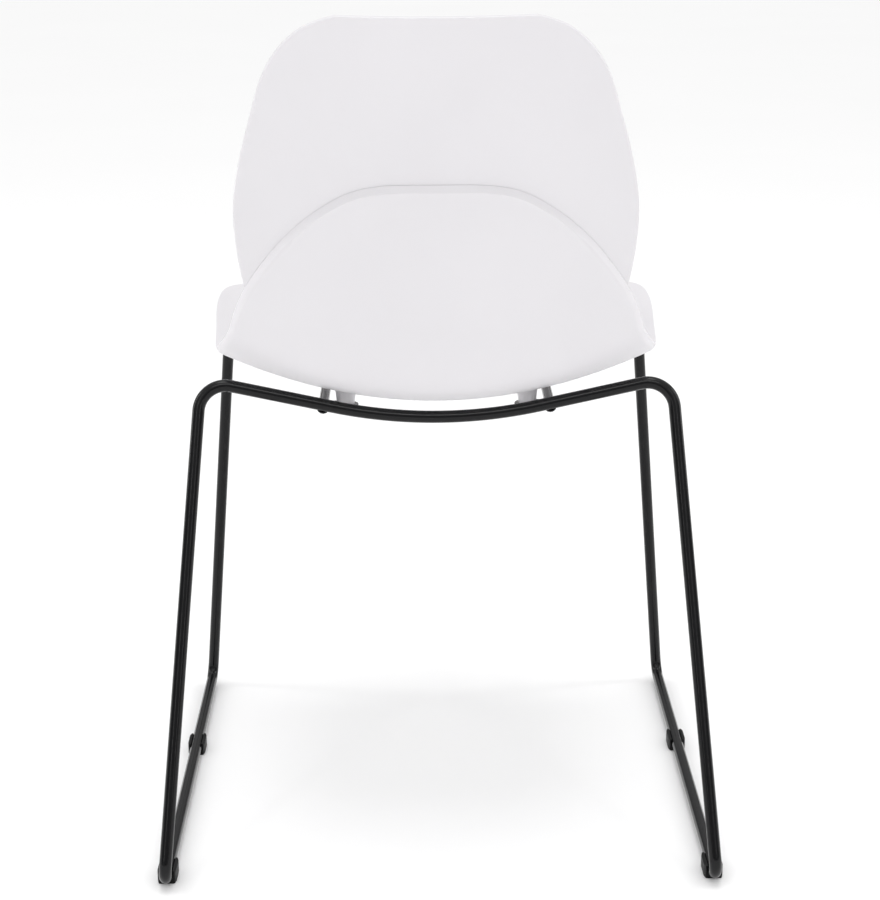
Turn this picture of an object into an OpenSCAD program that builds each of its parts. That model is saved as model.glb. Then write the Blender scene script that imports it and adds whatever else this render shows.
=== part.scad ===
// Stacking chair: a two-layer moulded shell on a welded rod frame with sled runners.
// Millimetres. X is across the chair, the sitter faces -Y, +Z is up, and the floor is Z = 0.
// The origin is on the floor, under the middle of the chair's bounding box.

/* [Rods] */
// Diameter of the legs, runners and cross bars
rod_d = 11.5; // [10:0.5:13]
// Diameter of the two rails under the seat
rail_d = 9.5; // [8:0.5:11]
// Bend radius where a leg turns into a runner
foot_bend_r = 15; // [14:1:20]
// Bend radius where a leg turns into a cross bar
top_bend_r = 25; // [22:1:30]

/* [Frame] */
// Runner length, between the corners that its bends round off
runner_len = 514; // [500:2:530]
// Distance of each runner from the middle of the chair
runner_x = 252; // [248:0.5:256]
// Rear corner of the frame's top: distance from the middle
rear_top_x = 217; // [214:1:220]
// Rear corner of the frame's top: how far the rear leg leans forward
rear_lean = 147; // [140:1:152]
// Rear corner of the frame's top: height
rear_top_z = 446; // [445:0.5:448]
// Front corner of the frame's top: distance from the middle
front_top_x = 212; // [209:1:215]
// Front corner of the frame's top: how far the front leg leans back
front_lean = 92; // [86:1:98]
// Fall of each cross bar towards its middle, in degrees
bar_fall = 12.3; // [12:0.1:12.6]
// Half the length of the curved middle of a cross bar
bar_curve_half = 96; // [90:1:97]
// Where the cross bars are welded to the bent side rods, from the middle
weld_x = 160; // [150:1:170]

/* [Rails and tabs] */
// Distance of each rail from the middle
rail_x = 105; // [103:0.5:107]
// Height of the rails' axes
rail_z = 419; // [418:0.5:420]
// Distance of the seat screws from the middle
screw_x = 85; // [83:0.5:87]
// Distance of the rear screws behind the frame's rear corner, along the floor
rear_screw_run = 175; // [171:1:179]
// Distance of the front screws from the same corner
front_screw_run = 397; // [389:1:401]
// Thickness of the welded tabs
tab_t = 3; // [2.5:0.5:4]
// Width of the tabs, front to back
tab_w = 24; // [22:1:28]

/* [Glides] */
// Length of a glide
glide_len = 29; // [26:1:34]
// Width of a glide
glide_w = 17.5; // [16.5:0.5:20]
// Plastic under the runner
glide_base = 3; // [2:0.5:4]
// Height of a glide's ears above the floor
glide_h = 12.5; // [11:0.5:13]
// How far each rear glide stands from the rear corner of its runner
rear_glide_inset = 36; // [36:1:60]
// How far each front glide stands from the front corner of its runner
front_glide_inset = 189; // [60:1:200]

/* [Shell] */
// Height of the lip where the seat shell ends behind the back
lip_z = 636; // [632:1:640]
// How far the lip stands in front of the frame's rear corners
lip_run = 62; // [59:0.5:65]
// Backward lean of the back, in degrees
back_lean = 12; // [11:0.5:13]
// Radius of the bowl between seat and back
bowl_r = 85; // [80:1:88]
// Rise of the seat towards its front edge, in degrees
seat_rise = 3; // [2.5:0.25:3.5]
// Length of the straight run of the seat
seat_run = 300; // [290:1:306]
// Radius of the rolled front edge
front_roll_r = 60; // [50:1:70]
// How far the front edge rolls down, in degrees
front_roll = 35; // [30:1:40]
// Wall of the seat shell
seat_wall = 6; // [5:0.25:7]
// Wall of the back shell
back_wall = 5.5; // [4.5:0.25:6]
// Wall of the back shell at the end of its tongue
tongue_wall = 3; // [2.5:0.25:4]

/* [Fasteners] */
// Diameter of the seat screws
screw_d = 6; // [5:1:6]
// Diameter of a screw's head
screw_head_d = 11; // [10:0.5:12]
// Height of a screw's head
screw_head_h = 3.2; // [2.5:0.1:4]
// Diameter of the brass inserts
insert_d = 8; // [7:0.5:9]
// Length of the brass inserts
insert_len = 8; // [7:0.5:9]
// Diameter of a moulded boss where it meets its tab
boss_d = 16.6; // [15:0.2:18]
// How much wider a boss is for each millimetre of its height
boss_flare = 0.05; // [0:0.01:0.2]

/* [Hidden] */

// Colours of the real finishes
shell_white = "#ecebed";
powder_black = "#26272a";
glide_black = "#161618";
zinc_grey = "#b9bcc0";
brass_yellow = "#c8a24e";

// Sides of the chair: the sitter faces -Y, so the left-hand side is at +X
left = 1;
right = -1;

// Curved faces are drawn with this many sides
round_sides = 48;
// A hair of overlap or clearance where solids are cut or meet
hair = 0.01;
// Gap between the two layers of the shell
layer_gap = 0.3;

// ---- vectors -------------------------------------------------------------------------
function unit(v) = v / norm(v);
function angle_between(u, v) = acos(unit(u) * unit(v));

// ---- frame corners -------------------------------------------------------------------
runner_z = glide_base + rod_d / 2;
// Rail height is shared by both cross bars, so the front corner's height follows
bar_over_rail = rear_top_z - tan(bar_fall) * (rear_top_x - rail_x);
front_top_z = bar_over_rail + tan(bar_fall) * (front_top_x - rail_x);

// The shell's side view: a straight back, a round bowl, a straight seat and a rolled front.
// Angles grow from the back to the seat; the bowl's lowest point comes to bowl_z.
bowl_z = 419.7;
bowl_turn = 90 - back_lean + seat_rise;
bowl_end_angle = back_lean + bowl_turn;
bowl_start_z = bowl_z + bowl_r - bowl_r * sin(back_lean);
back_len = (lip_z - bowl_start_z) / cos(back_lean);
// The middle of the front edge runs on past its corners, and the edge is drawn in
front_crown = 12;
seat_edge = 2;
tip_angle = bowl_end_angle - front_roll - (front_crown - seat_edge) / front_roll_r * 180 / PI;
// How far the shell reaches forward from the lip
shell_reach = back_len * sin(back_lean) + bowl_r * (cos(back_lean) - cos(bowl_end_angle))
    + seat_run * sin(bowl_end_angle) - front_roll_r * cos(bowl_end_angle)
    + (front_roll_r + seat_wall) * cos(tip_angle);
// How far a rear foot bend bulges behind its corner
rear_leg_dir = [rear_top_x - runner_x, -rear_lean, rear_top_z - runner_z];
foot_bulge = foot_bend_r + rod_d / 2 - foot_bend_r * tan(angle_between([0, 1, 0], rear_leg_dir) / 2);

// The rear foot bends and the seat's front edge are equally far from the origin
rear_y = (lip_run + shell_reach - foot_bulge) / 2;
front_y = rear_y - runner_len;
rear_bar_y = rear_y - rear_lean;
front_bar_y = front_y + front_lean;

function bar_z(top_x, top_z, x) = top_z - tan(bar_fall) * (top_x - x);
bar_curve_r = bar_curve_half / sin(bar_fall);

// ---- rods ----------------------------------------------------------------------------
// Places children with their own X, Y and Z axes along three given directions
module placed(ax, ay, az, at) {
    multmatrix([
        [ax.x, ay.x, az.x, at.x],
        [ax.y, ay.y, az.y, at.y],
        [ax.z, ay.z, az.z, at.z]
    ])
        children();
}

// A straight rod from a to b
module straight_rod(a, b, d) {
    along = unit(b - a);
    side = unit(abs(along.z) < 0.9 ? cross([0, 0, 1], along) : cross([1, 0, 0], along));
    placed(side, cross(along, side), along, a)
        cylinder(d = d, h = norm(b - a), $fn = round_sides);
}

// How far a bend starts before its corner
function bend_reach(before, corner, after, r) =
    r * tan(angle_between(corner - before, after - corner) / 2);

// The bend that rounds off one corner
module bent_rod(before, corner, after, r, d) {
    u = unit(corner - before);
    v = unit(after - corner);
    axis = unit(cross(u, v));
    start = corner - u * bend_reach(before, corner, after, r);
    inward = cross(axis, u);
    placed(-inward, u, axis, start + inward * r)
        rotate_extrude(angle = angle_between(u, v), $fn = round_sides)
            translate([r, 0])
                circle(d = d, $fn = round_sides);
}

// A straight stretch is a hair thinner than its bends and runs a little way into them
neck = 0.04;
bite = 0.5;

// A rod along a row of corners, each rounded by its own radius; the ends have radius 0
module rod(corners, radii, d) {
    last = len(corners) - 1;
    reach = [
        for (i = [0 : last])
            i == 0 || i == last ? 0 : bend_reach(corners[i - 1], corners[i], corners[i + 1], radii[i])
    ];
    for (i = [0 : last - 1]) {
        along = unit(corners[i + 1] - corners[i]);
        from = corners[i] + along * (reach[i] - (i == 0 ? 0 : bite));
        to = corners[i + 1] - along * (reach[i + 1] - (i == last - 1 ? 0 : bite));
        straight_rod(from, to, d - neck);
    }
    for (i = [1 : last - 1])
        bent_rod(corners[i - 1], corners[i], corners[i + 1], radii[i], d);
}

// One side of the frame, bent from one rod: the stub of the rear cross bar, the rear leg,
// the runner, the front leg and the stub of the front cross bar
module sled_rod(side) {
    corners = [
        [side * weld_x, rear_bar_y, bar_z(rear_top_x, rear_top_z, weld_x)],
        [side * rear_top_x, rear_bar_y, rear_top_z],
        [side * runner_x, rear_y, runner_z],
        [side * runner_x, front_y, runner_z],
        [side * front_top_x, front_bar_y, front_top_z],
        [side * weld_x, front_bar_y, bar_z(front_top_x, front_top_z, weld_x)]
    ];
    color(powder_black)
        rod(corners, [0, top_bend_r, foot_bend_r, foot_bend_r, top_bend_r, 0], rod_d);
}

// A cross bar between the side rods: it falls to the middle and is curved there
module cross_bar(y, top_x, top_z) {
    end_z = bar_z(top_x, top_z, weld_x);
    middle_z = bar_z(top_x, top_z, 0);
    color(powder_black)
        rod([[weld_x, y, end_z], [0, y, middle_z], [-weld_x, y, end_z]], [0, bar_curve_r, 0], rod_d);
}

module rear_cross_bar() {
    cross_bar(rear_bar_y, rear_top_x, rear_top_z);
}

module front_cross_bar() {
    cross_bar(front_bar_y, front_top_x, front_top_z);
}

// The straight stretch of a cross bar that a rail is welded to
module bar_at_rail(side, y, top_x, top_z) {
    near = bar_curve_half - 2;
    straight_rod(
        [side * near, y, bar_z(top_x, top_z, near)],
        [side * weld_x, y, bar_z(top_x, top_z, weld_x)],
        rod_d
    );
}

// A rail under the seat: its ends are coped round the cross bars, and it has a shallow
// flat where each tab is welded on
module seat_rail(side) {
    color(powder_black)
        difference() {
            straight_rod([side * rail_x, front_bar_y, rail_z], [side * rail_x, rear_bar_y, rail_z], rail_d);
            bar_at_rail(side, rear_bar_y, rear_top_x, rear_top_z);
            bar_at_rail(side, front_bar_y, front_top_x, front_top_z);
            for (run = [rear_screw_run, front_screw_run])
                translate([side * rail_x - rail_d, rear_y - run - tab_w / 2, tab_z - tab_t])
                    cube([rail_d * 2, tab_w, tab_t]);
        }
}

// ---- tabs, screws and inserts --------------------------------------------------------
// How deep a tab is let into its rail
tab_bite = 1;
// Height of the tabs' tops, which the bosses stand on
tab_z = rail_z - rail_d / 2 + tab_bite;
tab_outer_x = rail_x + rail_d / 2;
screw_hole_d = screw_d + 0.6;
screw_len = 10.5;
socket_d = 4;
socket_depth = 1.8;

// A flat tab under a rail, round at the end that holds the screw
module tab(side, run) {
    color(powder_black)
        translate([0, rear_y - run, tab_z - tab_t])
            difference() {
                union() {
                    translate([side > 0 ? screw_x : -tab_outer_x, -tab_w / 2, 0])
                        cube([tab_outer_x - screw_x, tab_w, tab_t]);
                    translate([side * screw_x, 0, 0])
                        cylinder(d = tab_w, h = tab_t, $fn = round_sides);
                }
                translate([side * screw_x, 0, -hair])
                    cylinder(d = screw_hole_d, h = tab_t + 2 * hair, $fn = round_sides);
            }
}

// A threaded brass insert, flush with the foot of its boss
module insert(side, run) {
    color(brass_yellow)
        translate([side * screw_x, rear_y - run, tab_z])
            difference() {
                cylinder(d = insert_d, h = insert_len, $fn = round_sides);
                translate([0, 0, -hair])
                    cylinder(d = screw_d, h = insert_len + 2 * hair, $fn = round_sides);
            }
}

// A button-head screw, put in from below, with a six-sided socket
module screw(side, run) {
    color(zinc_grey)
        translate([side * screw_x, rear_y - run, tab_z - tab_t])
            difference() {
                union() {
                    translate([0, 0, -screw_head_h])
                        cylinder(d1 = screw_head_d * 0.6, d2 = screw_head_d, h = screw_head_h, $fn = round_sides);
                    cylinder(d = screw_d, h = screw_len, $fn = round_sides);
                }
                translate([0, 0, -screw_head_h - hair])
                    cylinder(d = socket_d, h = socket_depth, $fn = 6);
            }
}

// ---- glides --------------------------------------------------------------------------
glide_end_w = 15;
glide_taper = 5;
// How far a glide's ears close in over the runner
ear_grip = 0.5;

// A clip that hugs the runner from below: a boat-shaped block with a round channel
module glide(side, y) {
    half = glide_len / 2;
    outline = [
        [-glide_end_w / 2, -half], [glide_end_w / 2, -half],
        [glide_w / 2, glide_taper - half], [glide_w / 2, half - glide_taper],
        [glide_end_w / 2, half], [-glide_end_w / 2, half],
        [-glide_w / 2, half - glide_taper], [-glide_w / 2, glide_taper - half]
    ];
    color(glide_black)
        translate([side * runner_x, y, 0])
            difference() {
                linear_extrude(glide_h)
                    polygon(outline);
                translate([0, half + 1, runner_z])
                    rotate([90, 0, 0])
                        cylinder(d = rod_d, h = glide_len + 2, $fn = round_sides);
                translate([-(rod_d / 2 - ear_grip), -half - 1, runner_z])
                    cube([rod_d - 2 * ear_grip, glide_len + 2, glide_h]);
            }
}

// ---- shell surface -------------------------------------------------------------------
// The shell follows a spine in the plane X = 0: down the back, round the bowl, along the
// seat and over the rolled front edge. "run" is the distance along the spine from the lip.
// Across the chair the surface bows away from the spine by bow * x * x, along the spine's
// own normal, which points to the sitter.
bowl_len = bowl_r * bowl_turn * PI / 180;
bowl_start_y = rear_y - lip_run - back_len * sin(back_lean);
roll_len = front_roll_r * front_roll * PI / 180;
seat_end = back_len + bowl_len + seat_run;
front_end = seat_end + roll_len;
shell_top = -147.8;
tongue_end = 312;
tongue_crown = 8;

// Centre of the bowl, in [y, z]
bowl_centre = [bowl_start_y - bowl_r * cos(back_lean), bowl_start_z + bowl_r * sin(back_lean)];
// Direction of the spine and of its normal at an angle that grows from the back to the seat
function spine_dir(a) = [-sin(a), -cos(a)];
function spine_normal(a) = [-cos(a), sin(a)];
bowl_end = bowl_centre - bowl_r * spine_normal(bowl_end_angle);
seat_tip = bowl_end + seat_run * spine_dir(bowl_end_angle);
roll_centre = seat_tip - front_roll_r * spine_normal(bowl_end_angle);

function spine_angle(run) =
    run < back_len ? back_lean
    : run < back_len + bowl_len ? back_lean + (run - back_len) / bowl_r * 180 / PI
    : run < seat_end ? bowl_end_angle
    : bowl_end_angle - (run - seat_end) / front_roll_r * 180 / PI;

function spine(run) =
    run < back_len ? [rear_y - lip_run, lip_z] + run * spine_dir(back_lean)
    : run < back_len + bowl_len ? bowl_centre - bowl_r * spine_normal(spine_angle(run))
    : run < seat_end ? bowl_end + (run - back_len - bowl_len) * spine_dir(bowl_end_angle)
    : roll_centre + front_roll_r * spine_normal(spine_angle(run));

// A smooth curve through a table of [position, value] rows
function slope_at(table, i) =
    let (a = max(i - 1, 0), b = min(i + 1, len(table) - 1))
        (table[b][1] - table[a][1]) / (table[b][0] - table[a][0]);
function row_below(table, at, i = 0) =
    i >= len(table) - 2 || at < table[i + 1][0] ? i : row_below(table, at, i + 1);
function smooth(table, at) =
    let (
        i = row_below(table, at),
        p = table[i],
        q = table[i + 1],
        w = q[0] - p[0],
        t = min(max((at - p[0]) / w, 0), 1)
    )
        p[1] * (1 + 2 * t) * (1 - t) * (1 - t) + q[1] * t * t * (3 - 2 * t)
        + w * (slope_at(table, i) * t * (1 - t) * (1 - t) - slope_at(table, i + 1) * t * t * (1 - t));

// How strongly the surface bows across the chair, in 1/mm, along the spine
bow = [
    [-150, 0.0008], [0, 0.00085], [100, 0.0009], [212, 0.00115],
    [300, 0.00105], [450, 0.0008], [609, 0.0006]
];
// Half the width of the seat shell along the spine: lip, shoulders, seat, front corners
seat_half = [
    [0, 57], [3, 68], [12, 86], [36, 117], [72, 149], [120, 178], [180, 194.5], [260, 204],
    [340, 210.5], [420, 217], [480, 219.5], [530, 217], [565, 206], [590, 187], [603, 166], [609, 140]
];
// Half the width of the back shell along the spine: top edge, widest point, tongue
back_half = [
    [-147.8, 85], [-145, 95], [-136, 114], [-116, 135], [-90, 149.5], [-53, 161], [-16, 171],
    [22, 178], [50, 179], [88, 175.5], [130, 167], [180, 152], [230, 131], [270, 106],
    [298, 78], [309, 60], [312, 45]
];

// A point of the shell: x across, run along the spine, lift towards the sitter
function shell_point(x, run, lift) =
    let (
        a = spine_angle(run),
        p = spine(run) + spine_normal(a) * (smooth(bow, run) * x * x + lift)
    )
        [x, p[0], p[1]];

// Rows of the grid lie closer together near both ends, where the outline turns fastest
function row_run(from, to, v) = from + (to - from) * (v - 0.075 * sin(360 * v));

// A closed sheet between two lifts. Both faces are drawn in by edge_in all round, and a
// ring half way between them keeps the full outline, so the edge is blunt and not sharp.
// lifts holds a table for the under face and one for the over face. The far end is crowned:
// its middle runs on past its corners.
crown_rise = 8;
module sheet(half_table, from, to, cols, rows, edge_in, lifts, crown) {
    middle = (from + to) / 2;
    shrink_run = 1 - edge_in / ((to - from) / 2);
    shrink_x = 1 - edge_in / max([for (row = half_table) row[1]]);
    per_face = (cols + 1) * (rows + 1);
    ring_len = 2 * (cols + rows);
    function at(i, j, face) =
        let (
            row = row_run(from, to, j / rows),
            u = 2 * i / cols - 1,
            x = u * smooth(half_table, row),
            run = row + crown * (1 - u * u) * pow(j / rows, crown_rise),
            pulled = face == 1 ? run : middle + (run - middle) * shrink_run,
            pair = [smooth(lifts[0], run), smooth(lifts[1], run)],
            lift = face == 0 ? pair[0] : face == 2 ? pair[1] : (pair[0] + pair[1]) / 2
        )
            shell_point(face == 1 ? x : x * shrink_x, pulled, lift);
    // The k-th grid position round the border, as [column, row]
    function border(k) =
        k < cols ? [k, 0]
        : k < cols + rows ? [cols, k - cols]
        : k < 2 * cols + rows ? [2 * cols + rows - k, rows]
        : [0, ring_len - k];
    function index(i, j) = j * (cols + 1) + i;
    under = [for (j = [0 : rows], i = [0 : cols]) at(i, j, 0)];
    over = [for (j = [0 : rows], i = [0 : cols]) at(i, j, 2)];
    ring = [for (k = [0 : ring_len - 1]) at(border(k)[0], border(k)[1], 1)];
    under_faces = [
        for (j = [0 : rows - 1], i = [0 : cols - 1], half = [0, 1])
            half == 0 ? [index(i, j), index(i + 1, j), index(i + 1, j + 1)]
            : [index(i, j), index(i + 1, j + 1), index(i, j + 1)]
    ];
    over_faces = [for (f = under_faces) [f[2] + per_face, f[1] + per_face, f[0] + per_face]];
    ring_faces = [
        for (k = [0 : ring_len - 1], part = [0 : 3])
            let (
                next = (k + 1) % ring_len,
                a = index(border(k)[0], border(k)[1]),
                b = index(border(next)[0], border(next)[1]),
                c = 2 * per_face + k,
                d = 2 * per_face + next
            )
                part == 0 ? [a, c, d]
                : part == 1 ? [a, d, b]
                : part == 2 ? [c, a + per_face, b + per_face]
                : [c, b + per_face, d]
    ];
    polyhedron(concat(under, over, ring), concat(under_faces, over_faces, ring_faces), 4);
}

// Lifts of the two faces of each layer, from the outer face of the seat shell
seat_under = [[-150, 0], [650, 0]];
seat_over = [[-150, seat_wall], [650, seat_wall]];
back_under = [[-150, seat_wall + layer_gap], [650, seat_wall + layer_gap]];
back_over = [
    [-150, seat_wall + layer_gap + back_wall], [100, seat_wall + layer_gap + back_wall],
    [tongue_end, seat_wall + layer_gap + tongue_wall]
];

// Distance along the spine of the point of the seat that is over a screw
function spine_over(run) =
    back_len + bowl_len + (run - (rear_y - bowl_end[0])) / cos(seat_rise);

// A boss of the seat shell, from its tab up to the shell's under face. It is cut off along
// the plane that touches the shell over the screw, a little short of it.
boss_short = 0.1;
boss_patch = 5;
boss_block = 40;
boss_h = 30;
module boss(side, run) {
    x = side * screw_x;
    along = spine_over(run);
    across = unit(shell_point(x + boss_patch, along, 0) - shell_point(x - boss_patch, along, 0));
    ahead = shell_point(x, along + boss_patch, 0) - shell_point(x, along - boss_patch, 0);
    out = unit(cross(ahead, across));
    color(shell_white)
        difference() {
            translate([x, rear_y - run, tab_z])
                cylinder(d1 = boss_d, d2 = boss_d + 2 * boss_flare * boss_h, h = boss_h, $fn = round_sides);
            translate([x, rear_y - run, tab_z - hair])
                cylinder(d = insert_d, h = insert_len + hair, $fn = round_sides);
            placed(across, cross(out, across), out, shell_point(x, along, 0) - out * boss_short)
                translate([-boss_block / 2, -boss_block / 2, 0])
                    cube(boss_block);
        }
}

// The outer layer: the seat, and the wall behind it that ends in the arched lip
module seat_shell() {
    color(shell_white)
        sheet(seat_half, 0, front_end, 32, 44, seat_edge, [seat_under, seat_over], front_crown);
}

// The inner layer: the back, whose tongue runs down into the bowl over the seat shell
module back_shell() {
    color(shell_white)
        sheet(back_half, shell_top, tongue_end, 24, 40, 1.8, [back_under, back_over], tongue_crown);
}

// ---- the pieces ----------------------------------------------------------------------
rear_glide_y = rear_y - rear_glide_inset;
front_glide_y = front_y + front_glide_inset;

seat_shell();
back_shell();
boss(left, rear_screw_run);  // rear_left_boss
boss(right, rear_screw_run);  // rear_right_boss
boss(left, front_screw_run);  // front_left_boss
boss(right, front_screw_run);  // front_right_boss
sled_rod(left);  // left_sled_rod
sled_rod(right);  // right_sled_rod
rear_cross_bar();
front_cross_bar();
seat_rail(left);  // left_seat_rail
seat_rail(right);  // right_seat_rail
tab(left, rear_screw_run);  // rear_left_tab
tab(right, rear_screw_run);  // rear_right_tab
tab(left, front_screw_run);  // front_left_tab
tab(right, front_screw_run);  // front_right_tab
glide(left, rear_glide_y);  // rear_left_glide
glide(right, rear_glide_y);  // rear_right_glide
glide(left, front_glide_y);  // front_left_glide
glide(right, front_glide_y);  // front_right_glide
insert(left, rear_screw_run);  // rear_left_insert
insert(right, rear_screw_run);  // rear_right_insert
insert(left, front_screw_run);  // front_left_insert
insert(right, front_screw_run);  // front_right_insert
screw(left, rear_screw_run);  // rear_left_screw
screw(right, rear_screw_run);  // rear_right_screw
screw(left, front_screw_run);  // front_left_screw
screw(right, front_screw_run);  // front_right_screw
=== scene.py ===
# %% [markdown]
# # A stacking chair with a two-layer moulded shell
# The chair is a white polypropylene shell on a frame of black powder-coated steel rod. The
# CAD model is loaded first, as a fixed frame. Then each visible piece is drawn again as a
# fine smooth surface over its CAD piece, and painted.
# Lengths are in millimetres in the sums and in metres in Blender. X is across the chair, the
# sitter faces -Y, Z is up, and the floor is Z = 0.

import math

import bpy
import numpy as np
from mathutils import Matrix, Vector


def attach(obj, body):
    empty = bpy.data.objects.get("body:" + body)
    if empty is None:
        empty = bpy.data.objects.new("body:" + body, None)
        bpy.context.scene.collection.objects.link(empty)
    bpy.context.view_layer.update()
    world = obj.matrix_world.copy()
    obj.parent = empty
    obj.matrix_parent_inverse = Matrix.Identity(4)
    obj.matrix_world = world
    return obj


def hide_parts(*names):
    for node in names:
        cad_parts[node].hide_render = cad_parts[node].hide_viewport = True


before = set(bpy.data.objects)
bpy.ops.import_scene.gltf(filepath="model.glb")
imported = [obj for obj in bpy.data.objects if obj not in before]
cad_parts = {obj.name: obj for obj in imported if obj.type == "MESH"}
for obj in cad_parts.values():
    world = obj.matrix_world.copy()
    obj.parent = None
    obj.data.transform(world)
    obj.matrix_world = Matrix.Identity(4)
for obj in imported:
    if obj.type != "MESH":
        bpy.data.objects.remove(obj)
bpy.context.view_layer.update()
MM = 0.001
print("CAD nodes:", len(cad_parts))

# %% [markdown]
# ## Where the viewer stands
# A chair like this is shown from behind and a little above, with a long lens so that its
# legs don't splay. A camera looks along its own -Z, so `to_track_quat` turns that axis
# towards the target. A hair of roll is added, as a hand-held camera has.

# %% Camera
CAMERA_AT = Vector((0.0196, 2.0643, 0.9356))
CAMERA_LOOKS_AT = Vector((-0.0043, -0.0172, 0.3388))
CAMERA_LENS = 87.2
CAMERA_ROLL = -0.274

camera_data = bpy.data.cameras.new("camera")
camera_data.lens = CAMERA_LENS
camera = bpy.data.objects.new("camera", camera_data)
bpy.context.scene.collection.objects.link(camera)
camera.location = CAMERA_AT
aim = (CAMERA_LOOKS_AT - CAMERA_AT).to_track_quat("-Z", "Y")
roll = Matrix.Rotation(math.radians(CAMERA_ROLL), 3, "Z").to_quaternion()
camera.rotation_mode = "QUATERNION"
camera.rotation_quaternion = aim @ roll
bpy.context.scene.camera = camera
print("camera is", round((CAMERA_LOOKS_AT - CAMERA_AT).length, 2), "m from the chair")

# %% [markdown]
# ## Colours and nodes
# A colour picked from a screen is an sRGB number, and Blender's shaders work in linear light,
# so one function turns a hex colour to linear. A material is a small graph: one function
# adds a node, and each of its sockets gets either a value or a link from another node.


# %% Helpers for materials
def linear(hex_colour):
    """sRGB hex to linear RGBA: below 0.04045 divide by 12.92, above it
    ((c + 0.055) / 1.055) to the 2.4."""
    srgb = np.array([int(hex_colour[i : i + 2], 16) / 255 for i in (1, 3, 5)])
    rgb = np.where(srgb <= 0.04045, srgb / 12.92, ((srgb + 0.055) / 1.055) ** 2.4)
    return (*rgb.tolist(), 1.0)


def node(tree, kind, sockets=None, **properties):
    """Adds one shader node. A socket gets a value, or a link when it is given the output of
    another node."""
    made = tree.nodes.new("ShaderNode" + kind)
    for name, value in properties.items():
        setattr(made, name, value)
    for name, value in (sockets or {}).items():
        if isinstance(value, bpy.types.NodeSocket):
            tree.links.new(value, made.inputs[name])
        else:
            made.inputs[name].default_value = value
    return made


# Nearly all values of a noise lie between these two
NOISE_SPAN = {"From Min": 0.3, "From Max": 0.7}


def span(low, high):
    """Sockets for the two ends of the range that a noise is mapped to."""
    return {"To Min": low, "To Max": high}


def new_material(name):
    """An empty material: its node tree and the output node that its shader goes to."""
    material = bpy.data.materials.new(name)
    material.use_nodes = True
    material.node_tree.nodes.clear()
    return material, material.node_tree, node(material.node_tree, "OutputMaterial")


# %% [markdown]
# ## The studio
# White furniture is shot in a white room: a pale floor without an edge, and light from all
# round that is strongest overhead. A narrow tall softbox stands on each side of the viewer
# and a wide one on each side of the chair. A black rod shows them as soft stripes along its
# length. One more hangs high above the viewer, and a broad light from straight above gives
# the faint shadow under the seat.

# %% Studio light
HORIZON_LIGHT = 0.22
ZENITH_LIGHT = 0.93
# Height on the unit sphere at which the sky reaches its full strength
FULL_SKY = 0.9

world = bpy.data.worlds.new("white room")
bpy.context.scene.world = world
world.use_nodes = True
sky = world.node_tree
sky.nodes.clear()
direction = node(sky, "TexCoord")
parts = node(sky, "SeparateXYZ", {"Vector": direction.outputs["Generated"]})
strength = node(
    sky,
    "MapRange",
    {
        "Value": parts.outputs["Z"],
        "From Min": 0.0,
        "From Max": FULL_SKY,
        "To Min": HORIZON_LIGHT,
        "To Max": ZENITH_LIGHT,
    },
    interpolation_type="SMOOTHSTEP",
)
dome = node(sky, "Background", {"Color": (1, 1, 1, 1), "Strength": strength.outputs["Result"]})
node(sky, "OutputWorld", {"Surface": dome.outputs["Background"]})

# Distance from the middle of the chair, and the point that every softbox faces, in metres
SOFTBOX_RANGE = 3.0
SOFTBOX_FACES = Vector((0, 0, 0.6))
# Each softbox: its turn from the viewer in degrees, its height, width and length in metres,
# and its power in watts
SOFTBOXES = (
    (30, 1.5, 0.14, 2.2, 7),
    (-30, 1.5, 0.14, 2.2, 7),
    (100, 1.5, 0.45, 2.2, 19),
    (-100, 1.5, 0.45, 2.2, 19),
    (0, 3.4, 1.6, 0.6, 14),
)
for turn, height, width, length, watts in SOFTBOXES:
    light = bpy.data.lights.new(f"softbox_{turn}", "AREA")
    light.shape = "RECTANGLE"
    light.size, light.size_y = width, length
    light.energy = watts
    softbox = bpy.data.objects.new(light.name, light)
    bpy.context.scene.collection.objects.link(softbox)
    a = math.radians(turn)
    softbox.location = (SOFTBOX_RANGE * math.sin(a), SOFTBOX_RANGE * math.cos(a), height)
    to_chair = SOFTBOX_FACES - softbox.location
    softbox.rotation_euler = to_chair.to_track_quat("-Z", "Y").to_euler()
    softbox.visible_camera = False

OVERHEAD_LIGHT = 0.75
OVERHEAD_SPREAD = math.radians(30)
overhead_data = bpy.data.lights.new("overhead", "SUN")
overhead_data.energy = OVERHEAD_LIGHT
overhead_data.angle = OVERHEAD_SPREAD
overhead = bpy.data.objects.new("overhead", overhead_data)
bpy.context.scene.collection.objects.link(overhead)
bpy.context.scene.view_settings.view_transform = "Standard"
print("light: a dome,", len(SOFTBOXES), "softboxes and a broad light from straight above")

# %% [markdown]
# ## Sheets and tubes
# Every new piece is a grid of points with four-sided faces between them. One function puts
# such arrays into a mesh, one numbers the faces of a grid, and one makes the piece ride on
# the CAD body and stand for its CAD node. The volume that a mesh encloses is printed, and a
# mesh whose volume comes out below 0 has its faces turned round so that they point outwards.


# %% Helpers for meshes
def unit(v):
    """Vectors divided by their own lengths."""
    return v / np.linalg.norm(v, axis=-1, keepdims=True)


def grid_quads(rows, cols, wrap=False):
    """Faces between the points of a grid of rows and columns: each joins a point, the next in
    its row and the same two in the next row. With wrap the last column meets the first."""
    first = np.arange(rows - 1)[:, None] * cols + np.arange(cols if wrap else cols - 1)[None, :]
    right = (
        np.arange(rows - 1)[:, None] * cols
        + ((np.arange(cols if wrap else cols - 1) + 1) % cols)[None, :]
    )
    return np.stack([first, right, right + cols, first + cols], axis=-1).reshape(-1, 4)


def fan(centre, ring):
    """Triangles from one point to each side of a closed ring of point numbers."""
    ring = np.asarray(ring)
    return np.stack([np.full(len(ring), centre), ring, np.roll(ring, -1)], axis=-1)


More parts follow.
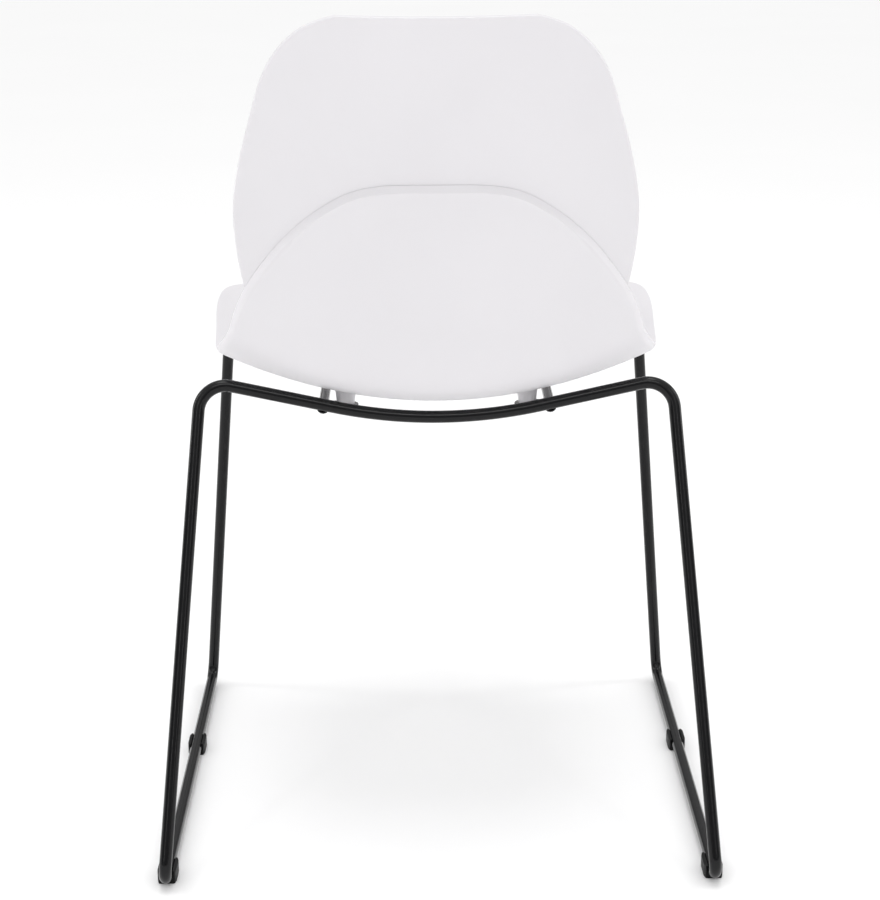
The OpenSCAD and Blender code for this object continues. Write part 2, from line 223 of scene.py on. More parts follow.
def enclosed(points, quads, tris):
    """Volume inside closed faces: a sixth of the sum of each triangle's a . (b x c)."""
    three = np.concatenate([quads[:, [0, 1, 2]], quads[:, [0, 2, 3]], tris])
    a, b, c = (points[three[:, k]] for k in range(3))
    return float(np.einsum("ij,ij->i", a, np.cross(b, c)).sum() / 6)


# Edges that turn by more than this stay sharp
SHARP_ANGLE = math.radians(40)


def make_piece(name, points, quads, tris, material, slot, *stands_for):
    """A mesh from points in millimetres, turned to face outwards, riding on the chair's body."""
    points = np.asarray(points, float).reshape(-1, 3)
    quads = np.asarray(quads, np.int32).reshape(-1, 4)
    tris = np.asarray(tris, np.int32).reshape(-1, 3)
    volume = enclosed(points, quads, tris)
    if volume < 0:
        quads, tris = quads[:, ::-1], tris[:, ::-1]
    corners = np.concatenate([quads.ravel(), tris.ravel()]).astype(np.int32)
    sizes = np.concatenate([np.full(len(quads), 4), np.full(len(tris), 3)])
    mesh = bpy.data.meshes.new(name)
    mesh.vertices.add(len(points))
    mesh.vertices.foreach_set("co", (points * MM).astype(np.float32).ravel())
    mesh.loops.add(len(corners))
    mesh.loops.foreach_set("vertex_index", corners)
    mesh.polygons.add(len(sizes))
    mesh.polygons.foreach_set("loop_start", (np.cumsum(sizes) - sizes).astype(np.int32))
    mesh.polygons.foreach_set("use_smooth", np.ones(len(sizes), bool))
    mesh.update(calc_edges=True)
    mesh.validate()
    mesh.set_sharp_from_angle(angle=SHARP_ANGLE)
    piece = bpy.data.objects.new(name, mesh)
    bpy.context.scene.collection.objects.link(piece)
    mesh.materials.append(material)
    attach(piece, "root")
    if stands_for:
        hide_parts(*stands_for)
    print(f"{name}: {len(sizes)} faces, {abs(volume) / 1000:.2f} cm3")
    return piece


# %% [markdown]
# ## White polypropylene
# The shell is polypropylene, injection moulded in a steel mould whose faces were finished by
# spark erosion. That leaves a satin surface: a fine even grain of about a third of a
# millimetre, with broad soft highlights. The plastic lets a little light in, so its shadows
# stay clean. The grain is drawn at 0.9 mm, because a finer one would not show.

# %% Material: moulded polypropylene
shell_plastic, tree, output = new_material("moulded polypropylene, spark-eroded satin")
place = node(tree, "TexCoord")
GRAIN = 0.9 * MM
grain = node(
    tree,
    "TexNoise",
    {"Vector": place.outputs["Object"], "Scale": 1 / GRAIN, "Detail": 2.0, "Roughness": 0.6},
)
FLOW = 160 * MM
flow = node(
    tree, "TexNoise", {"Vector": place.outputs["Object"], "Scale": 1 / FLOW, "Detail": 2.0}
)
tint = node(tree, "ValToRGB", {"Fac": flow.outputs["Fac"]})
tint.color_ramp.elements[0].position, tint.color_ramp.elements[1].position = 0.3, 0.7
tint.color_ramp.elements[0].color = linear("#e3e1e4")
tint.color_ramp.elements[1].color = linear("#e6e4e7")
gloss = node(tree, "MapRange", {"Value": grain.outputs["Fac"], **NOISE_SPAN, **span(0.4, 0.5)})
relief = node(
    tree, "Bump", {"Height": grain.outputs["Fac"], "Strength": 0.12, "Distance": 0.03 * MM}
)
plastic = node(
    tree,
    "BsdfPrincipled",
    {
        "Base Color": tint.outputs["Color"],
        "Roughness": gloss.outputs["Result"],
        "IOR": 1.49,
        "Normal": relief.outputs["Normal"],
        "Subsurface Weight": 0.12,
        "Subsurface Radius": (1.0, 0.95, 0.9),
        "Subsurface Scale": 2 * MM,
    },
)
tree.links.new(plastic.outputs["BSDF"], output.inputs["Surface"])

# %% [markdown]
# ## Black powder coat
# The frame is steel rod, sprayed with black polyester powder and baked. The powder melts
# into a tough satin skin with "orange peel": low bumps about 2 mm apart, in which the
# stripes of light waver a little. The finest part of it is a speckle in the gloss.

# %% Material: powder-coated steel
powder_coat, tree, output = new_material("powder-coated steel, satin black")
place = node(tree, "TexCoord")
ORANGE_PEEL, SPECKLE = 2.2 * MM, 0.7 * MM
peel = node(
    tree, "TexNoise", {"Vector": place.outputs["Object"], "Scale": 1 / ORANGE_PEEL, "Detail": 1.0}
)
speckle = node(
    tree, "TexNoise", {"Vector": place.outputs["Object"], "Scale": 1 / SPECKLE, "Detail": 1.0}
)
shade = node(tree, "ValToRGB", {"Fac": speckle.outputs["Fac"]})
shade.color_ramp.elements[0].position, shade.color_ramp.elements[1].position = 0.35, 0.65
shade.color_ramp.elements[0].color = linear("#0b0b0c")
shade.color_ramp.elements[1].color = linear("#101012")
gloss = node(tree, "MapRange", {"Value": speckle.outputs["Fac"], **NOISE_SPAN, **span(0.14, 0.19)})
relief = node(
    tree, "Bump", {"Height": peel.outputs["Fac"], "Strength": 0.25, "Distance": 0.05 * MM}
)
coat = node(
    tree,
    "BsdfPrincipled",
    {
        "Base Color": shade.outputs["Color"],
        "Roughness": gloss.outputs["Result"],
        "IOR": 1.46,
        "Specular IOR Level": 0.3,
        "Normal": relief.outputs["Normal"],
    },
)
tree.links.new(coat.outputs["BSDF"], output.inputs["Surface"])

# %% [markdown]
# ## Glide plastic, zinc and brass
# The glides are black nylon, which is tough and slides well, and is duller than the coat. The
# screws are steel with a bright zinc plating, and the inserts are turned brass.

# %% Material: moulded nylon
nylon, tree, output = new_material("moulded nylon, matt black")
place = node(tree, "TexCoord")
NYLON_GRAIN = 0.8 * MM
grain = node(
    tree, "TexNoise", {"Vector": place.outputs["Object"], "Scale": 1 / NYLON_GRAIN, "Detail": 2.0}
)
gloss = node(tree, "MapRange", {"Value": grain.outputs["Fac"], **NOISE_SPAN, **span(0.48, 0.6)})
relief = node(
    tree, "Bump", {"Height": grain.outputs["Fac"], "Strength": 0.2, "Distance": 0.05 * MM}
)
dull = node(
    tree,
    "BsdfPrincipled",
    {
        "Base Color": linear("#08080a"),
        "Roughness": gloss.outputs["Result"],
        "IOR": 1.5,
        "Specular IOR Level": 0.25,
        "Normal": relief.outputs["Normal"],
    },
)
tree.links.new(dull.outputs["BSDF"], output.inputs["Surface"])


# %% Materials: zinc plating and turned brass
def metal(name, hex_colour, dull_hex, grain_mm, low, high):
    """Bare metal: a noise mixes its bright and its dull colour and moves its roughness."""
    material, tree, output = new_material(name)
    place = node(tree, "TexCoord")
    cloud = node(
        tree,
        "TexNoise",
        {"Vector": place.outputs["Object"], "Scale": 1 / (grain_mm * MM), "Detail": 3.0},
    )
    tone = node(tree, "ValToRGB", {"Fac": cloud.outputs["Fac"]})
    tone.color_ramp.elements[0].color = linear(dull_hex)
    tone.color_ramp.elements[1].color = linear(hex_colour)
    gloss = node(tree, "MapRange", {"Value": cloud.outputs["Fac"], **span(high, low)})
    bare = node(
        tree,
        "BsdfPrincipled",
        {
            "Base Color": tone.outputs["Color"],
            "Roughness": gloss.outputs["Result"],
            "Metallic": 1.0,
        },
    )
    tree.links.new(bare.outputs["BSDF"], output.inputs["Surface"])
    return material


zinc = metal("zinc-plated steel", "#c4c7cb", "#9ea3a8", 3.0, 0.22, 0.42)
brass = metal("turned brass", "#cda550", "#a8843a", 2.0, 0.2, 0.4)
print("materials:", [m.name for m in bpy.data.materials])

# %% [markdown]
# ## The shape of the shell
# Both layers of the shell follow one curved surface. Its spine is a line in the middle plane
# X = 0: down the back, round the bowl, along the seat and over the rolled front edge. Across
# the chair the surface bows towards the sitter by a share of x squared. A point of it is
# given by x, by the run along the spine from the lip, and by the lift towards the sitter.

# %% Values of the shell
# Y of the rear corners of the runners, which the shell is measured from
REAR_Y = 263.93
LIP_RUN, LIP_Z = 62.0, 636.0
BACK_LEAN, SEAT_RISE, FRONT_ROLL = 12.0, 3.0, 35.0
BOWL_R, BOWL_Z = 85.0, 419.7
SEAT_RUN, FRONT_ROLL_R = 300.0, 60.0
SEAT_WALL, BACK_WALL, TONGUE_WALL, LAYER_GAP = 6.0, 5.5, 3.0, 0.05
SHELL_TOP, TONGUE_END = -147.8, 312.0
FRONT_CROWN, TONGUE_CROWN, CROWN_RISE = 12.0, 8.0, 8

BOW = np.array(
    [
        (-150, 0.0008),
        (0, 0.00085),
        (100, 0.0009),
        (212, 0.00115),
        (300, 0.00105),
        (450, 0.0008),
        (609, 0.0006),
    ]
)
SEAT_HALF = np.array(
    [
        (0, 57),
        (3, 68),
        (12, 86),
        (36, 117),
        (72, 149),
        (120, 178),
        (180, 194.5),
        (260, 204),
        (340, 210.5),
        (420, 217),
        (480, 219.5),
        (530, 217),
        (565, 206),
        (590, 187),
        (603, 166),
        (609, 140),
    ]
)
BACK_HALF = np.array(
    [
        (-147.8, 85),
        (-145, 95),
        (-136, 114),
        (-116, 135),
        (-90, 149.5),
        (-53, 161),
        (-16, 171),
        (22, 178),
        (50, 179),
        (88, 175.5),
        (130, 167),
        (180, 152),
        (230, 131),
        (270, 106),
        (298, 78),
        (309, 60),
        (312, 45),
    ]
)

BOWL_TURN = 90 - BACK_LEAN + SEAT_RISE
BOWL_LEN = BOWL_R * math.radians(BOWL_TURN)
lean = math.radians(BACK_LEAN)
BOWL_START_Z = BOWL_Z + BOWL_R - BOWL_R * math.sin(lean)
BACK_LEN = (LIP_Z - BOWL_START_Z) / math.cos(lean)
BOWL_START_Y = REAR_Y - LIP_RUN - BACK_LEN * math.sin(lean)
SEAT_END = BACK_LEN + BOWL_LEN + SEAT_RUN
FRONT_END = SEAT_END + FRONT_ROLL_R * math.radians(FRONT_ROLL)
print(f"the spine is {FRONT_END:.1f} mm long from the lip to the front edge")


# %% The surface as a function
def smooth(table, at):
    """A smooth curve through rows of (position, value): on each stretch a cubic whose end
    slopes are those of the chord between the neighbours on either side."""
    p, q = table[:, 0], table[:, 1]
    low = np.maximum(np.arange(len(p)) - 1, 0)
    high = np.minimum(np.arange(len(p)) + 1, len(p) - 1)
    slope = (q[high] - q[low]) / (p[high] - p[low])
    i = np.clip(np.searchsorted(p, at, side="right") - 1, 0, len(p) - 2)
    w = p[i + 1] - p[i]
    t = np.clip((at - p[i]) / w, 0, 1)
    value = q[i] * (1 + 2 * t) * (1 - t) ** 2 + q[i + 1] * t * t * (3 - 2 * t)
    return value + w * (slope[i] * t * (1 - t) ** 2 - slope[i + 1] * t * t * (1 - t))


def spine_at(run):
    """Y and Z of the spine and the spine's normal: a straight back, an arc, a straight seat
    and an arc that rolls over. The angle grows from the lean of the back to level."""
    in_bowl = (run - BACK_LEN) / BOWL_R
    end_angle = math.radians(BACK_LEAN + BOWL_TURN)
    angle = np.where(
        run < SEAT_END,
        np.clip(lean + in_bowl, lean, end_angle),
        end_angle - (run - SEAT_END) / FRONT_ROLL_R,
    )
    normal = np.stack([-np.cos(angle), np.sin(angle)], axis=-1)

    def along(a):
        return np.array([-math.sin(a), -math.cos(a)])

    def across(a):
        return np.array([-math.cos(a), math.sin(a)])

    lip = np.array([REAR_Y - LIP_RUN, LIP_Z])
    bowl_start = np.array([BOWL_START_Y, BOWL_START_Z])
    centre = bowl_start + BOWL_R * across(lean)
    bowl_end = centre - BOWL_R * across(end_angle)
    tip = bowl_end + SEAT_RUN * along(end_angle)
    roll_centre = tip - FRONT_ROLL_R * across(end_angle)
    r = run[..., None]
    place = np.where(
        r < BACK_LEN,
        lip + r * along(lean),
        np.where(
            r < BACK_LEN + BOWL_LEN,
            centre - BOWL_R * normal,
            np.where(
                r < SEAT_END,
                bowl_end + (r - BACK_LEN - BOWL_LEN) * along(end_angle),
                roll_centre + FRONT_ROLL_R * normal,
            ),
        ),
    )
    return place, normal


def shell_point(x, run, lift):
    """The spine at that run, moved along the spine's normal by bow times x squared plus lift."""
    place, normal = spine_at(run)
    yz = place + normal * (smooth(BOW, run) * x * x + lift)[..., None]
    return np.concatenate([x[..., None], yz], axis=-1)


# %% [markdown]
# ## A layer of the shell
# A layer is a closed sheet: an under face, an over face and a rounded rim between them. The
# faces are grids drawn in from the outline, and the rim is a row of rings. A ring half way
# round the rim lies on the outline, and the others step back from it in a quarter circle on
# each side, so that the edge catches the light as a moulded edge does.

# %% A closed sheet with a rounded rim
RIM_STEPS = 6
# Rows of the grid crowd towards both ends of a layer by this share
ROW_CROWDING = 0.075
# The faces are drawn in from the outline by this many rim radii
FACE_INSET = 1.3


def layer(
    half, start, end, under, over, crown, under_r, over_r, cols, rows, bevel=np.zeros_like, arch=0
):
    """Points and faces of a layer. The rim has radius under_r below and over_r above. Where
    bevel is 1, the rim below is a flat slope of the same size. The far end runs on by crown
    in the middle, and the near end gives way by arch at its corners."""
    v = np.linspace(0, 1, rows + 1)[:, None]
    u = np.linspace(-1, 1, cols + 1)[None, :]
    row = start + (end - start) * (v - ROW_CROWDING * np.sin(2 * math.pi * v)) + 0 * u
    x = u * smooth(half, row)
    run = row + crown * (1 - u * u) * v**CROWN_RISE + arch * u**4 * (1 - v) ** (2 * CROWN_RISE)

    number = np.arange((rows + 1) * (cols + 1)).reshape(rows + 1, cols + 1)
    border = np.concatenate(
        [number[0, :-1], number[:-1, -1], number[-1, :0:-1], number[:0:-1, 0]]
    )
    outline = np.stack([x.ravel()[border], run.ravel()[border]], axis=-1)
    tangent = unit(np.roll(outline, -1, axis=0) - np.roll(outline, 1, axis=0))
    inward = np.stack([-tangent[:, 1], tangent[:, 0]], axis=-1)

    middle = (start + end) / 2
    keep = 1 - FACE_INSET * max(under_r, over_r) / half[:, 1].max()
    face_x, face_run = x * keep, middle + (run - middle) * keep
    below = shell_point(face_x, face_run, under(face_run)).reshape(-1, 3)
    above = shell_point(face_x, face_run, over(face_run)).reshape(-1, 3)

    share = np.linspace(0, 1, RIM_STEPS + 1)
    turn = share * math.pi / 2
    slope = bevel(outline[:, 1])
    rings = []
    for t, a in zip(share, turn):
        inset = under_r * (1 - math.sin(a) + slope * (math.sin(a) - t))
        up = under_r * (1 - math.cos(a) + slope * (math.cos(a) - 1 + t))
        ring = outline + inset[:, None] * inward
        rings.append(shell_point(ring[:, 0], ring[:, 1], under(ring[:, 1]) + up))
    for inset, down in [(over_r * (1 - math.cos(a)), over_r * (1 - math.sin(a))) for a in turn]:
        ring = outline + inset * inward
        rings.append(shell_point(ring[:, 0], ring[:, 1], over(ring[:, 1]) - down))

    points = np.concatenate([below, above] + rings)
    per_face, around = len(below), len(border)
    face = grid_quads(rows + 1, cols + 1)
    chain = [border] + [2 * per_face + k * around + np.arange(around) for k in range(len(rings))]
    chain.append(border + per_face)
    bands = [
        np.stack([a, np.roll(a, -1), np.roll(b, -1), b], axis=-1)
        for a, b in zip(chain[:-1], chain[1:])
    ]
    quads = np.concatenate([face[:, ::-1], face + per_face] + bands)
    return points, quads


# %% [markdown]
# ## Seat shell
# The outer layer carries the sitter, rises behind the back as a wall and ends in an arched
# lip. The edge has a generous radius below and is nearly sharp above. Along the lip the
# radius becomes a flat slope, which shows as a thin band, and the back rises from it as if
# out of a pocket.

# %% Seat shell
# The flat slope fades out over this run and is gone at this distance from the lip
SLOPE_FADE, SLOPE_END = 150.0, 225.0
points, quads = layer(
    SEAT_HALF,
    0,
    FRONT_END,
    under=lambda run: 0 * run,
    over=lambda run: SEAT_WALL + 0 * run,
    crown=FRONT_CROWN,
    under_r=5.2,
    over_r=0.4,
    cols=130,
    rows=170,
    bevel=lambda run: np.clip((SLOPE_END - run) / SLOPE_FADE, 0, 1),
    arch=3,
)
make_piece("seat_skin", points, quads, [], shell_plastic, "shell", "seat_shell")

# %% [markdown]
# ## Back shell
# The inner layer is the back. Below the lip it runs on down into the bowl as a tongue that
# gets thinner, so that its end makes only a low step in the seat.

# %% Back shell
BACK_UNDER = SEAT_WALL + LAYER_GAP
BACK_OVER = np.array(
    [
        (-150, BACK_UNDER + BACK_WALL),
        (100, BACK_UNDER + BACK_WALL),
        (TONGUE_END, BACK_UNDER + TONGUE_WALL),
    ]
)
points, quads = layer(
    BACK_HALF,
    SHELL_TOP,
    TONGUE_END,
    under=lambda run: BACK_UNDER + 0 * run,
    over=lambda run: smooth(BACK_OVER, run),
    crown=TONGUE_CROWN,
    under_r=1.4,
    over_r=1.4,
    cols=110,
    rows=150,
)
make_piece("back_skin", points, quads, [], shell_plastic, "shell", "back_shell")

# %% [markdown]
# ## Rods
# A rod is one length of round steel, bent cold over a former. It is a circle carried along a
# path. The path is a row of corners, and each corner is rounded by an arc that touches both
# of its sides. The circle's own axes come from one fixed direction that the rod never points
# along, so the tube doesn't twist.

# %% A tube along a path
ROD_D, RAIL_D = 11.5, 9.5


def rounded_path(corners, radii, step=4.0, turn_step=4.0):
    """Points along the corners: straight stretches, and arcs that touch both sides. An arc
    starts radius times the tangent of half its angle before its corner."""
    corners = [np.array(c, float) for c in corners]
    path = [corners[0][None]]
    for before, corner, after, r in zip(corners[:-2], corners[1:-1], corners[2:], radii):
        u, w = unit(corner - before), unit(after - corner)
        angle = math.acos(float(np.clip(u @ w, -1, 1)))
        inward = unit(w - u * (u @ w))
        start = corner - u * r * math.tan(angle / 2)
        gap = float(np.linalg.norm(start - path[-1][-1]))
        t = np.linspace(0, 1, max(2, int(gap / step)))[1:, None]
        path.append(path[-1][-1] + (start - path[-1][-1]) * t)
        a = np.linspace(0, angle, max(3, int(math.degrees(angle) / turn_step)))[1:, None]
        path.append(start + r * (u * np.sin(a) + inward * (1 - np.cos(a))))
    gap = float(np.linalg.norm(corners[-1] - path[-1][-1]))
    t = np.linspace(0, 1, max(2, int(gap / step)))[1:, None]
    path.append(path[-1][-1] + (corners[-1] - path[-1][-1]) * t)
    return np.concatenate(path)


def tube(path, radius, away, sides=32, closed=False):
    """Rings of points round a path: each is the path's point plus radius times (side cos a +
    top sin a), where side and top are at right angles to the path. The ends are closed."""
    if closed:
        tangent = unit(np.roll(path, -1, axis=0) - np.roll(path, 1, axis=0))
    else:
        tangent = unit(np.gradient(path, axis=0))
    side = unit(np.cross(np.array(away, float), tangent))
    top = np.cross(tangent, side)
    a = np.linspace(0, 2 * math.pi, sides, endpoint=False)[None, :, None]
    r = np.broadcast_to(radius, (len(path),))[:, None, None]
    rings = path[:, None] + r * (side[:, None] * np.cos(a) + top[:, None] * np.sin(a))
    points = rings.reshape(-1, 3)
    quads = grid_quads(len(path), sides, wrap=True)
    if closed:
        last, first = (len(path) - 1) * sides + np.arange(sides), np.arange(sides)
        joint = np.stack([last, np.roll(last, -1), np.roll(first, -1), first], axis=-1)
        return points, np.concatenate([quads, joint]), np.zeros((0, 3), int)
    n = len(points)
    points = np.concatenate([points, path[:1], path[-1:]])
    caps = np.concatenate(
        [fan(n, np.arange(sides))[:, ::-1], fan(n + 1, n - sides + np.arange(sides))]
    )
    return points, quads, caps


# %% [markdown]
# ## The frame
# Each side of the chair is one rod, bent from the stub of the rear cross bar down the rear
# leg, along the floor, up the front leg and into the stub of the front cross bar. Two cross
# bars close the frame. They fall towards the middle and are gently curved there, so that the
# shell's bowl sits down between the sides.

# %% Side rods and cross bars
FOOT_BEND_R, TOP_BEND_R = 15.0, 25.0
BAR_FALL, BAR_CURVE_HALF, WELD_X = math.radians(12.3), 96.0, 160.0
RUNNER_X, RUNNER_Z, RUNNER_LEN = 252.0, 8.75, 514.0
REAR_TOP_X, REAR_TOP_Z, FRONT_TOP_X = 217.0, 446.0, 212.0
REAR_LEAN, FRONT_LEAN = 147.0, 92.0
FRONT_Y = REAR_Y - RUNNER_LEN
REAR_BAR_Y, FRONT_BAR_Y = REAR_Y - REAR_LEAN, FRONT_Y + FRONT_LEAN
RAIL_X, RAIL_Z = 105.0, 419.0
FRONT_TOP_Z = REAR_TOP_Z - math.tan(BAR_FALL) * (REAR_TOP_X - FRONT_TOP_X)


def bar_z(x):
    """Height of both cross bars' axes on their straight stretches: a steady fall to the middle."""
    return REAR_TOP_Z - math.tan(BAR_FALL) * (REAR_TOP_X - np.abs(x))


for name, side in (("left", 1), ("right", -1)):
    corners = [
        (side * WELD_X, REAR_BAR_Y, bar_z(WELD_X)),
        (side * REAR_TOP_X, REAR_BAR_Y, REAR_TOP_Z),
        (side * RUNNER_X, REAR_Y, RUNNER_Z),
        (side * RUNNER_X, FRONT_Y, RUNNER_Z),
        (side * FRONT_TOP_X, FRONT_BAR_Y, FRONT_TOP_Z),
        (side * WELD_X, FRONT_BAR_Y, bar_z(WELD_X)),
    ]
    path = rounded_path(corners, [TOP_BEND_R, FOOT_BEND_R, FOOT_BEND_R, TOP_BEND_R])
    parts = tube(path, ROD_D / 2, (side, 1, 1))
    make_piece(f"{name}_side_rod", *parts, powder_coat, "frame", f"{name}_sled_rod")

for name, y in (("rear", REAR_BAR_Y), ("front", FRONT_BAR_Y)):
    corners = [(WELD_X, y, bar_z(WELD_X)), (0, y, bar_z(0)), (-WELD_X, y, bar_z(WELD_X))]
    path = rounded_path(corners, [BAR_CURVE_HALF / math.sin(BAR_FALL)], turn_step=1.0)
    parts = tube(path, ROD_D / 2, (0, 1, 0))
    make_piece(f"{name}_bar", *parts, powder_coat, "frame", f"{name}_cross_bar")

# %% [markdown]
# ## Rails
# Two thinner rods join the cross bars under the seat. Their ends are cut to a saddle that
# fits the bar, and welded all round. The saddle is where a cylinder meets a cylinder: at
# each angle round the rail, the bar's surface stands off its axis by the square root of its
# radius squared less the offset squared.


# %% Rails and their welds
RAIL_SIDES, RAIL_ROWS = 32, 50
# A weld bead: its radius, its axis outside the rail, its ripples, and points round it
BEAD_R, BEAD_OUT = 1.0, 0.3
BEAD_SWELL, BEAD_RIPPLE = 0.07, 2.2
BEAD_SIDES, BEAD_POINTS = 12, 120


def saddle(x, z, bar_y, towards):
    """Y of the bar's surface at a point x, z beside its axis: bar_y plus towards times
    sqrt(radius squared - offset squared), the offset measured at right angles to the bar.
    A point above or below the bar gets the bar's own Y."""
    offset = (z - bar_z(x)) * math.cos(BAR_FALL)
    return bar_y + towards * np.sqrt(np.maximum((ROD_D / 2) ** 2 - offset**2, 0))


def bead(name, path, radius, away):
    """A closed weld bead: a thin tube whose radius swells a little at every ripple."""
    gaps = np.linalg.norm(np.diff(path, axis=0), axis=1)
    along = np.concatenate([[0], np.cumsum(gaps)])
    swell = radius * (1 + BEAD_SWELL * np.sin(along * 2 * math.pi / BEAD_RIPPLE))
    parts = tube(path, swell, away, BEAD_SIDES, closed=True)
    return make_piece(name, *parts, powder_coat, "frame")


for name, side in (("left", 1), ("right", -1)):
    a = np.linspace(0, 2 * math.pi, RAIL_SIDES, endpoint=False)
    ring_x = side * RAIL_X + RAIL_D / 2 * np.cos(a)
    ring_z = RAIL_Z + RAIL_D / 2 * np.sin(a)
    rear_end = saddle(ring_x, ring_z, REAR_BAR_Y, -1)
    front_end = saddle(ring_x, ring_z, FRONT_BAR_Y, 1)
    share = np.linspace(0, 1, RAIL_ROWS)[:, None]
    ring_y = rear_end + (front_end - rear_end) * share
    points = np.stack([ring_x + 0 * ring_y, ring_y, ring_z + 0 * ring_y], axis=-1).reshape(-1, 3)
    n = len(points)
    ends = [(side * RAIL_X, rear_end.mean(), RAIL_Z), (side * RAIL_X, front_end.mean(), RAIL_Z)]
    points = np.concatenate([points, ends])
    quads = grid_quads(RAIL_ROWS, RAIL_SIDES, wrap=True)
    first = np.arange(RAIL_SIDES)
    caps = np.concatenate([fan(n, first)[:, ::-1], fan(n + 1, n - RAIL_SIDES + first)])
    make_piece(f"{name}_rail", points, quads, caps, powder_coat, "frame", f"{name}_seat_rail")

    a = np.linspace(0, 2 * math.pi, BEAD_POINTS, endpoint=False)
    for end, bar_y, towards in (("rear", REAR_BAR_Y, -1), ("front", FRONT_BAR_Y, 1)):
        x = side * RAIL_X + (RAIL_D / 2 + BEAD_OUT) * np.cos(a)
        z = RAIL_Z + (RAIL_D / 2 + BEAD_OUT) * np.sin(a)
        ring = np.stack([x, saddle(x, z, bar_y, towards), z], axis=-1)
        bead(f"{end}_{name}_rail_weld", ring, BEAD_R, (0, 1, 0))

# %% [markdown]
# ## Bosses
# The seat rests on four posts moulded in one with it. Each stands on its tab, widens a
# little upwards for the mould, and meets the shell in a small fillet. Between the circle at
# its foot and the circle drawn on the shell, each line of the surface is a cubic: it leaves
# the foot upwards and arrives along the shell.

# %% Bosses
SCREW_X, REAR_SCREW_RUN, FRONT_SCREW_RUN = 85.0, 175.0, 397.0
TAB_Z = 415.25
BOSS_D, BOSS_FLARE, BOSS_FILLET = 16.6, 0.05, 1.5
BOSS_SIDES, BOSS_ROWS = 48, 24
# A boss ends this far inside the shell, and each line arrives with this many fillet lengths
BOSS_SINK, BOSS_ARRIVAL = 0.3, 2.2
BOWL_END_Y = BOWL_START_Y - BOWL_R * (math.cos(lean) + math.sin(math.radians(SEAT_RISE)))


def boss(name, side, screw_run):
    """A post from its foot to the shell: Hermite lines between two circles, closed at the foot."""
    y = REAR_Y - screw_run
    run = BACK_LEN + BOWL_LEN + (BOWL_END_Y - y) / math.cos(math.radians(SEAT_RISE))
    a = np.linspace(0, 2 * math.pi, BOSS_SIDES, endpoint=False)
    centre = shell_point(np.array([side * SCREW_X]), np.array([run]), np.array([0.0]))[0]
    height = centre[2] - TAB_Z
    top_r = BOSS_D / 2 + BOSS_FLARE * height + BOSS_FILLET

    def on_shell(r, lift):
        return shell_point(side * SCREW_X + r * np.cos(a), run - r * np.sin(a), lift + 0 * a)

    foot = np.stack(
        [
            side * SCREW_X + BOSS_D / 2 * np.cos(a),
            y + BOSS_D / 2 * np.sin(a),
            TAB_Z + 0 * a,
        ],
        axis=-1,
    )
    top = on_shell(top_r, BOSS_SINK)
    ahead = unit(on_shell(top_r + 1, BOSS_SINK) - top)
    rise = top[:, 2:3] - TAB_Z
    leave = np.concatenate(
        [BOSS_FLARE * rise * np.stack([np.cos(a), np.sin(a)], axis=-1), rise], axis=-1
    )
    arrive = ahead * (BOSS_FILLET * BOSS_ARRIVAL)
    t = np.linspace(0, 1, BOSS_ROWS)[:, None, None]
    lines = (
        foot * (1 + 2 * t) * (1 - t) ** 2
        + top * t * t * (3 - 2 * t)
        + leave * t * (1 - t) ** 2
        - arrive * t * t * (1 - t)
    )
    points = lines.reshape(-1, 3)
    n = len(points)
    ends = [foot.mean(axis=0), on_shell(0, BOSS_SINK).mean(axis=0)]
    points = np.concatenate([points, ends])
    first = np.arange(BOSS_SIDES)
    tris = np.concatenate([fan(n, first)[:, ::-1], fan(n + 1, n - BOSS_SIDES + first)])
    quads = grid_quads(BOSS_ROWS, BOSS_SIDES, wrap=True)
    return make_piece(f"{name}_post", points, quads, tris, shell_plastic, "shell", f"{name}_boss")


for name, side, run in (
    ("rear_left", 1, REAR_SCREW_RUN),
    ("rear_right", -1, REAR_SCREW_RUN),
    ("front_left", 1, FRONT_SCREW_RUN),
    ("front_right", -1, FRONT_SCREW_RUN),
):
    boss(name, side, run)

# %% [markdown]
# ## Tabs, glides, screws and inserts
# These small parts keep their CAD shapes. A copy of each tab, glide and screw has its loose
# triangles merged and its edges bevelled, because a stamped or moulded edge is never quite
# sharp, and it is the edge that catches the light. The inserts keep their CAD meshes and only
# get the brass material.


# %% Bevelled copies of the small parts
MERGE_GAP = 0.01
BEVEL_SEGMENTS = 3
BEVEL_ANGLE = math.radians(25)


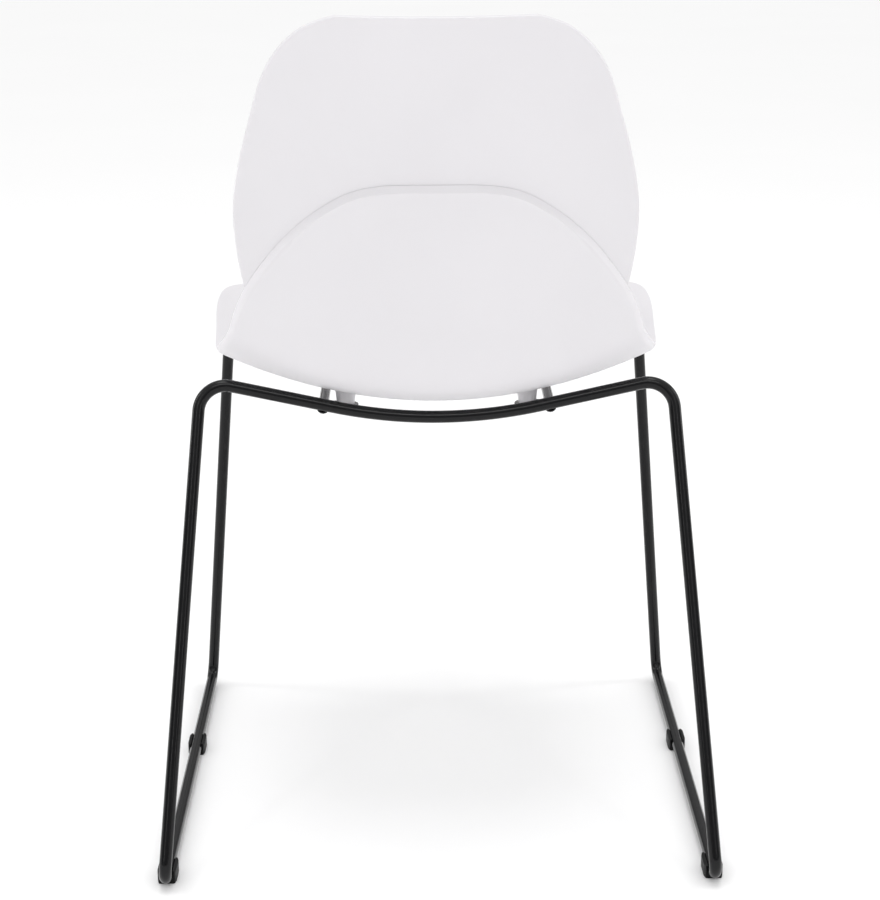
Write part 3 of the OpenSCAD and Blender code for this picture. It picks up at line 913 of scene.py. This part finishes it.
def softened(node_name, piece_name, material, width):
    """A copy of a CAD node with merged points and rounded edges, which stands for the node."""
    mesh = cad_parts[node_name].data.copy()
    mesh.name = piece_name
    piece = bpy.data.objects.new(piece_name, mesh)
    bpy.context.scene.collection.objects.link(piece)
    weld = piece.modifiers.new("merge", "WELD")
    weld.merge_threshold = MERGE_GAP * MM
    bevel = piece.modifiers.new("soft edges", "BEVEL")
    bevel.width = width * MM
    bevel.segments = BEVEL_SEGMENTS
    bevel.limit_method = "ANGLE"
    bevel.angle_limit = BEVEL_ANGLE
    mesh.materials.clear()
    mesh.materials.append(material)
    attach(piece, "root")
    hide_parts(node_name)
    return piece


for end in ("rear", "front"):
    for name in ("left", "right"):
        where = f"{end}_{name}"
        softened(f"{where}_tab", f"{where}_plate", powder_coat, 0.5)
        softened(f"{where}_glide", f"{where}_foot", nylon, 0.9)
        softened(f"{where}_screw", f"{where}_bolt", zinc, 0.3)
        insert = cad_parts[f"{where}_insert"]
        insert.data.materials.clear()
        insert.data.materials.append(brass)

# %% [markdown]
# ## Floor
# A plain pale floor that runs on past the view in every direction, so the chair stands in a
# white room. It is not attached to the chair's body.

# %% Floor
floor_paint, tree, output = new_material("matt white floor paint")
place = node(tree, "TexCoord")
cloud = node(tree, "TexNoise", {"Vector": place.outputs["Object"], "Scale": 1.5, "Detail": 2.0})
pale = node(tree, "ValToRGB", {"Fac": cloud.outputs["Fac"]})
pale.color_ramp.elements[0].color = linear("#fafafa")
pale.color_ramp.elements[1].color = linear("#fcfcfc")
matt = node(
    tree,
    "BsdfPrincipled",
    {"Base Color": pale.outputs["Color"], "Roughness": 0.9, "Specular IOR Level": 0.2},
)
tree.links.new(matt.outputs["BSDF"], output.inputs["Surface"])

# Half the floor's width, and how far it lies below the glides, in metres
FLOOR_HALF, FLOOR_DROP = 45.0, 0.0002
FLOOR_LINES = 31
reach = np.linspace(-FLOOR_HALF, FLOOR_HALF, FLOOR_LINES)
floor_x, floor_y = np.meshgrid(reach, reach)
floor_mesh = bpy.data.meshes.new("floor")
floor_points = np.stack([floor_x, floor_y, 0 * floor_x - FLOOR_DROP], axis=-1).reshape(-1, 3)
floor_mesh.from_pydata(floor_points.tolist(), [], grid_quads(FLOOR_LINES, FLOOR_LINES).tolist())
floor_mesh.materials.append(floor_paint)
floor = bpy.data.objects.new("floor", floor_mesh)
bpy.context.scene.collection.objects.link(floor)
